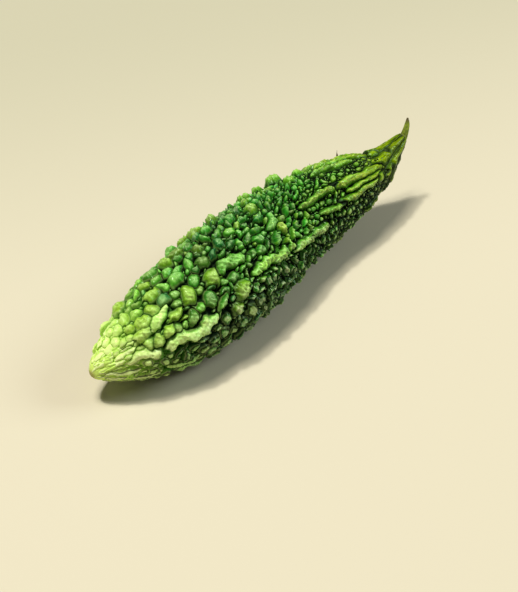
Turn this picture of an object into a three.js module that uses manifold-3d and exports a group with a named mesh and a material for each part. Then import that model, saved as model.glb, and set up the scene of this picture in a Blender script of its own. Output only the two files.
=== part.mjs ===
// A bitter gourd as picked, lying on its side: a warty, ribbed fruit that tapers to a neck,
// and the short curved stalk that it hung from. Millimetres, +Z up, fruit along X with its
// blossom end at -X. It rests on the small flats of its own lowest warts, at z = 0.

import * as THREE from "three";
import { ConvexHull } from "three/addons/math/ConvexHull.js";
import { mergeVertices } from "three/addons/utils/BufferGeometryUtils.js";
import Module from "manifold-3d";

const wasm = await Module();
wasm.setup();

// The fruit's length along X, from its blossom tip to the end of its neck
const LENGTH = 190.5;
const TIP_X = -97.6; // where that tip lies

// Rows of share of the length, then the centreline's y and its height above the surface
const CENTRELINE = [
  [0.0, 5.5, 14.0],
  [0.15, 0.9, 18.9],
  [0.38, -0.5, 22.4],
  [0.62, 3.7, 20.9],
  [0.8, -0.2, 23.2],
  [0.91, -3.9, 27.8],
  [1.0, -4.3, 35.0],
];

// Rows of share of the length, then the radius over the warts
const GIRTH = [
  [0.0, 3.0],
  [0.03, 6.7],
  [0.08, 12.4],
  [0.15, 18.2],
  [0.25, 22.0],
  [0.38, 23.3],
  [0.5, 22.4],
  [0.62, 19.9],
  [0.74, 17.2],
  [0.84, 13.2],
  [0.91, 7.9],
  [0.96, 4.5],
  [1.0, 2.3],
];

// Rows of share of the length, then how far warts and ribs stand out of the skin
const RELIEF = [
  [0.0, 0.4],
  [0.06, 1.3],
  [0.15, 2.3],
  [0.3, 3.0],
  [0.5, 3.0],
  [0.7, 2.6],
  [0.84, 1.9],
  [0.92, 1.0],
  [1.0, 0.3],
];

// Rows of share of the length, then a round wart's usual half width
const WART = [
  [0.0, 1.6],
  [0.08, 2.2],
  [0.16, 2.9],
  [0.3, 3.3],
  [0.5, 3.2],
  [0.7, 2.8],
  [0.88, 2.1],
  [1.0, 1.4],
];

const WART_SIZES = [1.25, 1.1, 1.0, 0.9, 0.8, 0.7, 0.6, 0.5]; // shares of the usual half width
const WARTS_FROM = 0.04; // share of the length where round warts begin
const WARTS_TO = 0.93;
const WART_HALF_VARIES = [0.94, 1.06]; // times its size's half width
const WART_HEIGHT_VARIES = [0.8, 1.04]; // times the relief
const WART_WIDEST = 0.5; // half width, as a share of the fruit's radius
const TRIES = 15000; // random places tried for each size
const CLOSENESS = 0.97; // of touching, at which two warts may stand

// Stretches of rib, each from one share of the length to another, with the degrees round the
// fruit where it begins and where it ends, and its half width
const STRETCHES = [
  [0.012, 0.115, 180, 212, 1.3],
  [0.012, 0.1, 156, 178, 1.2],
  [0.025, 0.15, 138, 160, 1.8],
  [0.145, 0.26, 158, 161, 2.5],
  [0.055, 0.165, 121, 131, 1.7],
  [0.31, 0.38, 119, 118, 2.4],
  [0.385, 0.5, 141, 149, 2.2],
  [0.51, 0.66, 155, 161, 2.1],
  [0.615, 0.735, 121, 117, 1.8],
  [0.745, 0.885, 117, 130, 1.9],
  [0.66, 0.735, 142, 150, 1.5],
  [0.74, 0.86, 147, 151, 1.7],
  [0.77, 0.87, 135, 142, 1.3],
  [0.72, 0.83, 78, 86, 1.7],
  [0.74, 0.89, 48, 65, 1.9],
];

// Big warts: share of the length, degrees round the fruit, half width, and how many times
// taller than the usual wart there
const LUMPS = [
  [0.13, 104, 3.0, 1.2],
  [0.232, 119, 3.7, 1.25],
  [0.297, 119, 3.9, 1.25],
  [0.334, 150, 4.0, 1.25],
  [0.342, 178, 3.6, 1.25],
  [0.263, 62, 3.2, 1.25],
  [0.371, 51, 3.5, 1.35],
  [0.43, 51, 3.0, 1.4],
  [0.495, 82, 3.5, 1.25],
  [0.545, 50, 3.0, 1.4],
  [0.6, 44, 3.2, 1.5],
  [0.645, 47, 3.7, 1.9],
  [0.66, 70, 3.2, 1.4],
  [0.7, 57, 3.0, 1.4],
  [0.874, 155, 2.2, 1.25],
  [0.905, 78, 2.4, 1.6],
];

// The other ribs run by rule
const RIBS = 10;
const RIB_PHASE = 0.21; // radians
const RIB_STARTS = [1.5, 4.5]; // millimetres from the blossom tip
const RIB_ROOM = 0.35; // radians that such a stretch keeps from those given above
const RIB_SWAY = 0.1; // radians that a rib wanders from side to side
const RIB_WAVE = { length: 9, rib: 2.4 }; // radians of that wave over the length, and to the next rib
const RIB_STRAY = 0.06; // radians that a stretch over the middle may stand off to either side
const RIB_SLANT = 0.006; // radians per millimetre that a stretch of rib may slant
const RIB_WIDEST = 2.2; // half width
const RIB_SHARE = 0.25; // of the room from one rib to the next, as half width
const RIB_HALF_VARIES = [0.9, 1.2];
const RIB_HEIGHT_VARIES = [0.94, 1.08];
const RIB_PIECE = { ends: 21, middle: 12 }; // length of one unbroken stretch of rib
const RIB_PIECE_VARIES = [0.65, 1.35];
const RIB_SHORTEST = 2;
const RIB_GAPS = 0.66; // share of the stretches that are missing over the middle
const RIB_TALLER = 1.1; // than a round wart at the same place
const NECK_FROM = 0.87; // share of the length where every second rib ends
const BREAKS_UP = [0.1, 0.3]; // shares of the length between which the ribs break up
const JOINS_AGAIN = [0.66, 0.84]; // and between which they join again
const CREST_STEP = 5.5; // spacing of points along a rib
const CREST_ENDS = 0.78; // height of a rib's crest at both ends, as a share of its middle's

// Rings of points round a wart: how far out and how high, as shares of its own size
const RINGS = [
  { out: 0.62, high: 0.8, sides: 6 },
  { out: 1.0, high: 0.0, sides: 6 },
];
const SMALL_WART = 1.9; // half width, under which a wart has no ring of shoulders
const TIP_ROUNDING = 2.6; // length of the blossom tip's round nose
const END_RING = { tip: 1.1, neck: 0.2, sides: 8 }; // smooth rings of points this far from both ends
const BARE = { tip: 1.5, neck: 0.8 }; // no wart has a point this near to either end
const NECK_CUT = 0.6; // the neck is cut flat this far from its end
const BLOCK = 400; // side of a block that cuts the fruit, longer than the fruit is
const SAME_POINT = 1e-4; // points nearer than this are one

// The stalk, from the neck's end: its curve's points beyond the neck, and its radii along it
const STALK_BENDS = [
  [0, 0, 0],
  [1.9, -0.1, 2.6],
  [3.6, 0.4, 5.6],
  [4.5, 1.1, 8.2],
];
const STALK_RADII = [1.95, 1.75, 1.5, 1.25, 0.95, 0.35];
const STALK_SIDES = 10;
const STALK_STEPS = 10;
const STALK_LEAD = 0.8; // the stalk runs on straight from the neck this far
const JOINT_GAP = 0.3; // where the stalk meets the neck

const SKIN = { color: 0x3f7a1e, roughness: 0.42, metalness: 0 };
const STALK_SKIN = { color: 0x5b6320, roughness: 0.7, metalness: 0 };

// A repeatable source of numbers from 0 to 1
function seeded(seed) {
  let state = seed >>> 0;
  return () => {
    state = (Math.imul(state, 1664525) + 1013904223) >>> 0;
    return state / 4294967296;
  };
}

function between([low, high], share) {
  return low + (high - low) * share;
}

// A smooth curve through one column of a table, at a share t of the length
function along(table, t, column = 1) {
  const last = table.length - 1;
  let i = 0;
  while (i < last - 1 && t > table[i + 1][0]) i += 1;
  const slope = (k) => (table[k + 1][column] - table[k][column]) / (table[k + 1][0] - table[k][0]);
  const tangent = (k) => {
    if (k === 0) return slope(0);
    if (k === last) return slope(last - 1);
    const before = table[k][0] - table[k - 1][0];
    const after = table[k + 1][0] - table[k][0];
    return (slope(k - 1) * after + slope(k) * before) / (before + after);
  };
  const width = table[i + 1][0] - table[i][0];
  const u = (t - table[i][0]) / width;
  return (
    (2 * u ** 3 - 3 * u ** 2 + 1) * table[i][column] +
    (u ** 3 - 2 * u ** 2 + u) * width * tangent(i) +
    (3 * u ** 2 - 2 * u ** 3) * table[i + 1][column] +
    (u ** 3 - u ** 2) * width * tangent(i + 1)
  );
}

// The skin between the warts: its radius at s, in millimetres from the blossom tip
function skinRadius(s) {
  const t = s / LENGTH;
  const nose = 1 - Math.min(1, s / TIP_ROUNDING);
  return (along(GIRTH, t) - along(RELIEF, t)) * Math.sqrt(Math.max(0, 1 - nose * nose));
}

// How fast that radius grows along the fruit
function slope(s) {
  const step = 0.5;
  const a = Math.max(0, s - step);
  const b = Math.min(LENGTH, s + step);
  return (skinRadius(b) - skinRadius(a)) / (b - a);
}

function centre(s) {
  const t = s / LENGTH;
  return new THREE.Vector3(TIP_X + s, along(CENTRELINE, t, 1), along(CENTRELINE, t, 2));
}

// Which way the fruit runs at s, and the two directions across it
function frameAt(s) {
  const step = 0.5;
  const a = centre(Math.max(0, s - step));
  const b = centre(Math.min(LENGTH, s + step));
  const forward = b.sub(a).normalize();
  const side = new THREE.Vector3(0, 0, 1).cross(forward).normalize();
  return { forward, side, over: forward.clone().cross(side) };
}

// How far a place is round the fruit from another, as an angle from -pi to pi
function turn(angle) {
  return angle - 2 * Math.PI * Math.round(angle / (2 * Math.PI));
}

// 0 at both ends of the fruit and 1 over its middle, where the ribs break up
function middleness(t) {
  const { smoothstep } = THREE.MathUtils;
  return smoothstep(t, ...BREAKS_UP) * (1 - smoothstep(t, ...JOINS_AGAIN));
}

// A wart is { s, angle, half, reach, slant, height }: half is its half width. A long one runs
// for its reach each way along the fruit, and slants round it by so many radians a millimetre.
function givenWarts() {
  const stretches = STRETCHES.map(([from, to, start, end, half]) => {
    const long = (to - from) * LENGTH;
    const t = (from + to) / 2;
    return {
      s: t * LENGTH,
      angle: THREE.MathUtils.degToRad((start + end) / 2),
      half,
      reach: long / 2 - half,
      slant: THREE.MathUtils.degToRad(end - start) / long,
      height: RIB_TALLER * along(RELIEF, t),
    };
  });
  const lumps = LUMPS.map(([t, degrees, half, taller]) => {
    const angle = THREE.MathUtils.degToRad(degrees);
    return { s: t * LENGTH, angle, half, reach: 0, slant: 0, height: taller * along(RELIEF, t) };
  });
  return [...stretches, ...lumps];
}

function ribs(given) {
  const random = seeded(41);
  const made = [...given];
  for (let k = 0; k < RIBS; k += 1) {
    const home = RIB_PHASE + (2 * Math.PI * k) / RIBS;
    const end = k % 2 ? NECK_FROM * LENGTH : LENGTH - 1;
    let s = between(RIB_STARTS, random());
    while (s < end - RIB_SHORTEST) {
      const broken = middleness(s / LENGTH);
      const usual = THREE.MathUtils.lerp(RIB_PIECE.ends, RIB_PIECE.middle, broken);
      const long = Math.min(usual * between(RIB_PIECE_VARIES, random()), end - s);
      const at = s + long / 2;
      const t = at / LENGTH;
      const wave = RIB_SWAY * Math.sin(RIB_WAVE.length * t + RIB_WAVE.rib * k);
      const sway = wave + broken * RIB_STRAY * between([-1, 1], random());
      const room = (2 * Math.PI * skinRadius(at)) / RIBS;
      const half = Math.min(RIB_WIDEST, RIB_SHARE * room) * between(RIB_HALF_VARIES, broken * random());
      const height = RIB_TALLER * along(RELIEF, t) * between(RIB_HEIGHT_VARIES, random());
      const slant = RIB_SLANT * between([-1, 1], random());
      const reach = Math.max(0, long / 2 - half);
      const crowded = given.some((wart) => {
        const beside = Math.abs(wart.s - at) < wart.reach + long / 2;
        return beside && Math.abs(turn(wart.angle - home)) < RIB_ROOM;
      });
      if (random() > RIB_GAPS * broken && !crowded) {
        made.push({ s: at, angle: home + sway, half, reach, slant, height });
      }
      s += long;
    }
  }
  return made;
}

// Round warts, the biggest first, each where no other stands too close
function roundWarts(standing) {
  const random = seeded(7);
  const made = [...standing];
  for (const size of WART_SIZES) {
    for (let n = 0; n < TRIES; n += 1) {
      const t = between([WARTS_FROM, WARTS_TO], random());
      const angle = 2 * Math.PI * random();
      const half = size * along(WART, t) * between(WART_HALF_VARIES, random());
      const height = along(RELIEF, t) * between(WART_HEIGHT_VARIES, random()) * Math.sqrt(size);
      const s = t * LENGTH;
      const radius = skinRadius(s);
      const steepness = Math.hypot(1, slope(s));
      const tooClose = made.some((wart) => {
        const touching = CLOSENESS * (wart.half + half);
        const step = THREE.MathUtils.clamp(s - wart.s, -wart.reach, wart.reach);
        const lengthways = (s - wart.s - step) * steepness;
        const across = turn(angle - wart.angle - wart.slant * step) * radius;
        return Math.hypot(lengthways, across) < touching;
      });
      const fits = half < WART_WIDEST * radius;
      if (!tooClose && fits) made.push({ s, angle, half, reach: 0, slant: 0, height });
    }
  }
  return made.slice(standing.length);
}

// The points that give a wart its shape: its crest, then rings of them round it. A long wart
// has its rings opened out, with points in step with those along its crest.
function pointsOn(wart, spin) {
  const count = 1 + Math.ceil((2 * wart.reach) / CREST_STEP);
  const steps = [];
  for (let i = 0; i < count; i += 1) steps.push(count > 1 ? wart.reach * ((2 * i) / (count - 1) - 1) : 0);
  const made = steps.map((step) => {
    const sag = count > 1 ? (1 - CREST_ENDS) * (step / wart.reach) ** 2 : 0;
    return { s: wart.s + step, angle: wart.angle + wart.slant * step, height: wart.height * (1 - sag) };
  });
  for (const { out, high, sides } of RINGS) {
    if (high > 0 && wart.half < SMALL_WART) continue;
    const add = (step, way) => {
      const s = wart.s + step + (out * wart.half * Math.cos(way)) / Math.hypot(1, slope(wart.s + step));
      const angle = wart.angle + wart.slant * step + (out * wart.half * Math.sin(way)) / skinRadius(s);
      made.push({ s, angle, height: high * wart.height });
    };
    for (let i = 0; i < sides; i += 1) {
      const way = (2 * Math.PI * i) / sides + (wart.reach > 0 ? 0 : spin);
      add(Math.sign(Math.cos(way)) * wart.reach, way);
    }
    for (const step of steps.slice(1, -1)) {
      add(step, Math.PI / 2);
      add(step, -Math.PI / 2);
    }
  }
  return made;
}

// Triangles between places on the fruit. The map from the skin to a sphere keeps small
// shapes, and the hull of points on a sphere joins each one to its nearest neighbours.
function joined(places) {
  const stretch = [0];
  for (let s = 1; s <= LENGTH; s += 1) {
    stretch.push(stretch[s - 1] + Math.hypot(1, slope(s - 0.5)) / Math.max(1, skinRadius(s - 0.5)));
  }
  const middle = stretch[Math.round(LENGTH / 2)];
  const points = places.map((place) => {
    if (place.pole) return new THREE.Vector3(0, 0, place.pole);
    const i = Math.min(Math.floor(place.s), stretch.length - 2);
    const v = stretch[i] + (place.s - i) * (stretch[i + 1] - stretch[i]) - middle;
    const across = 1 / Math.cosh(v);
    return new THREE.Vector3(Math.cos(place.angle) * across, Math.sin(place.angle) * across, Math.tanh(v));
  });
  const index = new Map(points.map((point, i) => [point, i]));
  return new ConvexHull().setFromPoints(points).faces.map((face) => {
    const first = face.edge;
    return [first, first.next, first.next.next].map((edge) => index.get(edge.head().point));
  });
}

// A point on the fruit, standing a height out of its skin
function onFruit(place) {
  const { forward, side, over } = frameAt(place.s);
  const outward = side.multiplyScalar(Math.cos(place.angle)).addScaledVector(over, Math.sin(place.angle));
  const lean = slope(place.s);
  const normal = outward.clone().addScaledVector(forward, -lean).normalize();
  return centre(place.s)
    .addScaledVector(outward, place.pole ? 0 : skinRadius(place.s))
    .addScaledVector(normal, place.height);
}

function fruitGeometry() {
  const random = seeded(19);
  const warts = ribs(givenWarts());
  warts.push(...roundWarts(warts));
  const places = [
    { s: 0, angle: 0, height: 0, pole: -1 },
    { s: LENGTH, angle: 0, height: 0, pole: 1 },
  ];
  for (let i = 0; i < END_RING.sides; i += 1) {
    const angle = (2 * Math.PI * i) / END_RING.sides;
    places.push({ s: END_RING.tip, angle, height: 0 }, { s: LENGTH - END_RING.neck, angle, height: 0 });
  }
  for (const wart of warts) {
    const points = pointsOn(wart, Math.PI * random());
    places.push(...points.filter(({ s }) => s > BARE.tip && s < LENGTH - BARE.neck));
  }
  const geometry = new THREE.BufferGeometry().setFromPoints(places.map(onFruit));
  geometry.setIndex(joined(places).flat());
  return geometry;
}

// A closed geometry as a solid that can be cut
function solidOf(geometry) {
  const bare = new THREE.BufferGeometry();
  bare.setAttribute("position", geometry.getAttribute("position"));
  bare.setIndex(geometry.index);
  const merged = mergeVertices(bare, SAME_POINT);
  const vertProperties = new Float32Array(merged.getAttribute("position").array);
  const triVerts = new Uint32Array(merged.index.array);
  return new wasm.Manifold(new wasm.Mesh({ numProp: 3, vertProperties, triVerts }));
}

function geometryOf(solid) {
  const mesh = solid.getMesh();
  const geometry = new THREE.BufferGeometry();
  geometry.setAttribute("position", new THREE.BufferAttribute(mesh.vertProperties, 3));
  geometry.setIndex(new THREE.BufferAttribute(mesh.triVerts, 1));
  return geometry;
}

// Everything beyond a plane, as a big block that cuts it away
function beyond(point, normal) {
  const block = new THREE.BoxGeometry(BLOCK, BLOCK, BLOCK);
  block.translate(0, 0, BLOCK / 2);
  block.applyQuaternion(new THREE.Quaternion().setFromUnitVectors(new THREE.Vector3(0, 0, 1), normal));
  block.translate(point.x, point.y, point.z);
  return solidOf(block);
}

// A tapered tube with closed ends, along a curve
function taperedTube(curve, radii, sides, steps) {
  const positions = [];
  const indices = [];
  const frames = curve.computeFrenetFrames(steps, false);
  for (let i = 0; i <= steps; i += 1) {
    const share = (i / steps) * (radii.length - 1);
    const k = Math.min(Math.floor(share), radii.length - 2);
    const radius = THREE.MathUtils.lerp(radii[k], radii[k + 1], share - k);
    const middle = curve.getPointAt(i / steps);
    for (let j = 0; j < sides; j += 1) {
      const angle = (2 * Math.PI * j) / sides;
      const point = middle
        .clone()
        .addScaledVector(frames.normals[i], radius * Math.cos(angle))
        .addScaledVector(frames.binormals[i], radius * Math.sin(angle));
      positions.push(point.x, point.y, point.z);
    }
  }
  const last = steps * sides;
  for (let j = 0; j < sides; j += 1) {
    const next = (j + 1) % sides;
    for (let i = 0; i < last; i += sides) {
      indices.push(i + j, i + next, i + sides + j, i + next, i + sides + next, i + sides + j);
    }
    if (j > 0 && next > 0) indices.push(0, next, j, last, last + j, last + next);
  }
  const geometry = new THREE.BufferGeometry();
  geometry.setAttribute("position", new THREE.Float32BufferAttribute(positions, 3));
  geometry.setIndex(indices);
  return geometry;
}

const neckEnd = centre(LENGTH - NECK_CUT);
const neckWay = frameAt(LENGTH - NECK_CUT).forward;

function fruit() {
  const floor = beyond(new THREE.Vector3(0, 0, 0), new THREE.Vector3(0, 0, -1));
  const cut = beyond(neckEnd, neckWay);
  const solid = solidOf(fruitGeometry()).subtract(floor).subtract(cut);
  const mesh = new THREE.Mesh(geometryOf(solid), new THREE.MeshStandardMaterial(SKIN));
  mesh.name = "fruit";
  return mesh;
}

function stalk() {
  const root = neckEnd.clone().addScaledVector(neckWay, JOINT_GAP);
  const bends = STALK_BENDS.map((bend) => new THREE.Vector3(...bend).add(root));
  const lead = root.clone().addScaledVector(neckWay, STALK_LEAD);
  const curve = new THREE.CatmullRomCurve3([bends[0], lead, ...bends.slice(1)]);
  const geometry = taperedTube(curve, STALK_RADII, STALK_SIDES, STALK_STEPS);
  const mesh = new THREE.Mesh(geometry, new THREE.MeshStandardMaterial(STALK_SKIN));
  mesh.name = "stalk";
  return mesh;
}

const gourd = new THREE.Group();
gourd.add(fruit(), stalk());

export default gourd;
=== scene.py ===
# A bitter gourd lying on a pale table: the fruit's skin with its ribs, more than two thousand
# warts that stand out of it, two dried hairs and the short stalk. Sizes are in millimetres
# until a mesh is made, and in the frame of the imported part.

import math

import bpy
import numpy as np
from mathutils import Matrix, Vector


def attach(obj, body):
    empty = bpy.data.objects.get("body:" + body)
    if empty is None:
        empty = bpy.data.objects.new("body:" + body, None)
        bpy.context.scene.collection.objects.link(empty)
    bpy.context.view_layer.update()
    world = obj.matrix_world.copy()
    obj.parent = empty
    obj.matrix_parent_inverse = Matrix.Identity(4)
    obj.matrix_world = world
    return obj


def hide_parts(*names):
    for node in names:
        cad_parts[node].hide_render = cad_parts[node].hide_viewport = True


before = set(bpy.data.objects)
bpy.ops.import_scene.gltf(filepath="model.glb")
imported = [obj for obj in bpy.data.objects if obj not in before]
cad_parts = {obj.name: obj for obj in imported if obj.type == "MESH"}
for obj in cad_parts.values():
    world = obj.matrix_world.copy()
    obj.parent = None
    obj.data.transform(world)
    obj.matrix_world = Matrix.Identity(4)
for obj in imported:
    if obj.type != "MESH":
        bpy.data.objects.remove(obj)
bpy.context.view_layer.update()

MM = 0.001

# The fruit's length along X, from its blossom tip to the end of its neck
LENGTH = 190.5
TIP_X = -97.6

# Rows of share of the length, then the centreline's y and its height above the table
CENTRELINE = [
    (0.0, 5.5, 14.0),
    (0.15, 0.9, 18.9),
    (0.38, -0.5, 22.4),
    (0.62, 3.7, 20.9),
    (0.8, -0.2, 23.2),
    (0.91, -3.9, 27.8),
    (1.0, -4.3, 35.0),
]

# Rows of share of the length, then the radius over the warts
GIRTH = [
    (0.0, 3.0),
    (0.03, 6.7),
    (0.08, 12.4),
    (0.15, 18.2),
    (0.25, 22.0),
    (0.38, 23.3),
    (0.5, 22.4),
    (0.62, 19.9),
    (0.74, 17.2),
    (0.84, 13.2),
    (0.91, 7.9),
    (0.96, 4.5),
    (1.0, 2.3),
]
TIP_ROUNDING = 2.6

# Rows of share of the length, then how far the usual wart stands out of the skin
RELIEF = [
    (0.0, 0.3),
    (0.05, 1.4),
    (0.12, 2.5),
    (0.25, 3.4),
    (0.42, 3.4),
    (0.6, 2.7),
    (0.8, 2.0),
    (0.9, 1.2),
    (1.0, 0.3),
]

# Rows of share of the length, then the usual wart's half width
WART = [
    (0.0, 1.0),
    (0.06, 1.6),
    (0.14, 2.0),
    (0.28, 2.2),
    (0.42, 1.85),
    (0.6, 1.4),
    (0.78, 1.12),
    (0.9, 0.95),
    (1.0, 0.7),
]

# Stretches of rib, each from one share of the length to another, with the degrees round the
# fruit where it begins and where it ends, its half width, and how pale it is
STRETCHES = [
    (0.02, 0.125, 190, 214, 1.8, 0.9),
    (0.02, 0.09, 171, 181, 1.5, 0.9),
    (0.012, 0.08, 145, 149, 1.4, 1.0),
    (0.06, 0.15, 148, 163, 2.3, 1.0),
    (0.13, 0.265, 159, 160, 3.0, 1.0),
    (0.05, 0.1, 134, 134, 1.2, 0.8),
    (0.13, 0.19, 127, 113, 2.2, 0.8),
    (0.3, 0.385, 119, 118, 2.5, 0.5),
    (0.375, 0.515, 141, 150, 2.3, 0.9),
    (0.495, 0.67, 154, 161, 2.2, 0.9),
    (0.6, 0.755, 121, 116, 1.9, 0.8),
    (0.725, 0.9, 116, 131, 2.3, 1.0),
    (0.65, 0.75, 141, 150, 1.6, 0.6),
    (0.72, 0.875, 146, 152, 1.8, 0.9),
    (0.76, 0.885, 135, 143, 1.5, 0.8),
    (0.71, 0.84, 78, 86, 1.8, 0.6),
    (0.71, 0.9, 46, 66, 2.4, 0.9),
    (0.745, 0.89, 61, 77, 1.6, 0.8),
]

# Emerald patches: share of the length, degrees round the fruit, how far they reach
EMERALD = [
    (0.194, 99, 4.5),
    (0.171, 164, 4.5),
    (0.322, 100, 4.0),
    (0.36, 85, 3.5),
    (0.3, 202, 4.5),
    (0.345, 197, 5.0),
    (0.43, 191, 4.5),
    (0.42, 60, 4.0),
    (0.27, 250, 5.0),
    (0.5, 300, 5.0),
    (0.62, 10, 4.0),
]

# Beads that have begun to ripen: share of the length, degrees round the fruit, half width
RIPE = [
    (0.5, 125, 2.3),
    (0.31, 330, 2.1),
    (0.66, 230, 1.6),
]

# Big warts: share of the length, degrees round the fruit, half width, and how many times
# taller than the usual wart there
LUMPS = [
    (0.046, 56, 2.4, 1.9),
    (0.084, 40, 3.2, 1.9),
    (0.13, 46, 3.4, 1.6),
    (0.075, 141, 1.5, 1.5),
    (0.083, 116, 1.7, 1.5),
    (0.109, 102, 1.9, 1.4),
    (0.104, 168, 2.2, 1.3),
    (0.119, 123, 2.7, 1.4),
    (0.136, 110, 2.8, 1.4),
    (0.14, 143, 2.2, 1.4),
    (0.163, 140, 2.1, 1.4),
    (0.159, 105, 2.7, 1.3),
    (0.182, 87, 3.1, 1.3),
    (0.19, 104, 2.6, 1.3),
    (0.19, 127, 2.5, 1.3),
    (0.232, 119, 3.4, 1.4),
    (0.297, 119, 3.6, 1.4),
    (0.334, 150, 3.9, 1.4),
    (0.342, 178, 3.4, 1.2),
    (0.263, 62, 3.0, 1.4),
    (0.371, 51, 3.1, 1.5),
    (0.43, 51, 2.6, 1.6),
    (0.484, 141, 1.9, 1.3),
    (0.495, 82, 3.1, 1.4),
    (0.545, 50, 2.6, 1.6),
    (0.6, 44, 2.8, 1.7),
    (0.645, 47, 3.6, 2.2),
    (0.66, 70, 2.8, 1.6),
    (0.7, 57, 2.6, 1.6),
    (0.874, 155, 2.2, 1.4),
    (0.905, 78, 2.4, 1.9),
    (0.938, 106, 1.8, 1.5),
    (0.915, 172, 2.0, 1.5),
    (0.945, 198, 2.4, 2.2),
]


def on_fruit(rows):
    """The rows of a table above, with millimetres for the share and radians for the degrees."""
    return [(share * LENGTH, math.radians(degrees), *rest) for share, degrees, *rest in rows]


class Draw:
    """A repeatable source of numbers from 0 to 1."""

    def __init__(self, seed):
        self.state = seed

    def __call__(self):
        self.state = (self.state * 1664525 + 1013904223) % 2**32
        return self.state / 2**32


def along(table, t, column=1):
    """A smooth curve through one column of a table, at shares t of the length."""
    rows = np.array(table)
    x, y = rows[:, 0], rows[:, column]
    width = np.diff(x)
    rise = np.diff(y) / width
    tangent = np.empty(len(x))
    tangent[0], tangent[-1] = rise[0], rise[-1]
    tangent[1:-1] = (rise[:-1] * width[1:] + rise[1:] * width[:-1]) / (width[:-1] + width[1:])
    i = np.clip(np.searchsorted(x, t, side="right") - 1, 0, len(x) - 2)
    u = (t - x[i]) / width[i]
    return (
        (2 * u**3 - 3 * u**2 + 1) * y[i]
        + (u**3 - 2 * u**2 + u) * width[i] * tangent[i]
        + (3 * u**2 - 2 * u**3) * y[i + 1]
        + (u**3 - u**2) * width[i] * tangent[i + 1]
    )


def smoothstep(value, low, high):
    u = np.clip((value - low) / (high - low), 0, 1)
    return u * u * (3 - 2 * u)


def skin_radius(s):
    """The skin between the warts: its radius at s, in millimetres from the blossom tip."""
    t = np.clip(s / LENGTH, 0, 1)
    nose = 1 - np.clip(s / TIP_ROUNDING, 0, 1)
    return (along(GIRTH, t) - along(RELIEF, t)) * np.sqrt(np.maximum(0, 1 - nose**2))


def slope(s):
    step = 0.5
    a = np.maximum(0, s - step)
    b = np.minimum(LENGTH, s + step)
    return (skin_radius(b) - skin_radius(a)) / (b - a)


def centre(s):
    t = np.clip(s / LENGTH, 0, 1)
    return np.stack([TIP_X + s, along(CENTRELINE, t, 1), along(CENTRELINE, t, 2)], -1)


def unit(v):
    return v / np.linalg.norm(v, axis=-1, keepdims=True)


def axes_at(s, angle):
    """On the skin at s and angle: the point, the way out, the way along and the way round."""
    step = 0.5
    forward = unit(centre(np.minimum(LENGTH, s + step)) - centre(np.maximum(0, s - step)))
    side = unit(np.cross((0, 0, 1), forward))
    over = np.cross(forward, side)
    outward = side * np.cos(angle)[..., None] + over * np.sin(angle)[..., None]
    lean = slope(s)[..., None]
    point = centre(s) + outward * skin_radius(s)[..., None]
    normal = unit(outward - forward * lean)
    lengthways = unit(forward + outward * lean)
    return point, normal, lengthways, np.cross(normal, lengthways)


# The other ribs run where the same rule puts them in the solid
RIBS = 10
RIB_PHASE = 0.21  # radians
RIB_STARTS = (1.5, 4.5)  # millimetres from the blossom tip
RIB_ROOM = 0.35  # radians that such a stretch keeps from those given above
RIB_SWAY = 0.1  # radians that a rib wanders from side to side
RIB_WAVE = {"length": 9, "rib": 2.4}  # radians of that wave over the length, and to the next rib
RIB_STRAY = 0.06  # radians that a stretch over the middle may stand off to either side
RIB_SLANT = 0.006  # radians per millimetre that a stretch may slant
RIB_WIDEST = 2.2  # half width
RIB_SHARE = 0.25  # of the room from one rib to the next, as half width
RIB_HALF_VARIES = (0.9, 1.2)
RIB_PIECE = {"ends": 21, "middle": 12}  # length of one unbroken stretch
RIB_PIECE_VARIES = (0.65, 1.35)
RIB_SHORTEST = 2
RIB_GAPS = 0.66  # share of the stretches that are missing over the middle
NECK_FROM = 0.87  # share of the length where every second rib ends
BREAKS_UP = (0.1, 0.3)  # shares of the length between which the ribs break up
JOINS_AGAIN = (0.66, 0.84)  # and between which they join again
PALE = (0.25, 0.8)  # how pale these ribs are over the blossom half and towards the stalk
PALE_FROM = (0.5, 0.75)  # shares of the length between which they turn so

RIB_TALLER = 1.5  # than a usual wart at the same place
WARTS_LOWER = 0.2  # share that the warts lose in height towards the stalk, where ribs stand out
LOWER_FROM = (0.6, 0.75)  # shares of the length between which they lose it


def turn(angle):
    return angle - 2 * math.pi * round(angle / (2 * math.pi))


def between(ends, share):
    low, high = ends
    return low + (high - low) * share


def at(table, t):
    return float(along(table, np.array([t]))[0])


def middleness(t):
    """0 at both ends of the fruit and 1 over its middle, where the ribs break up."""
    return float(smoothstep(t, *BREAKS_UP) * (1 - smoothstep(t, *JOINS_AGAIN)))


def given_stretches():
    made = []
    for start, end, first, last, half, pale in STRETCHES:
        long = (end - start) * LENGTH
        made.append({
            "s": (start + end) / 2 * LENGTH,
            "angle": math.radians((first + last) / 2),
            "half": half,
            "reach": long / 2 - half / 2,
            "slant": math.radians(last - first) / long,
            "pale": pale,
        })
    return made


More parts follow.
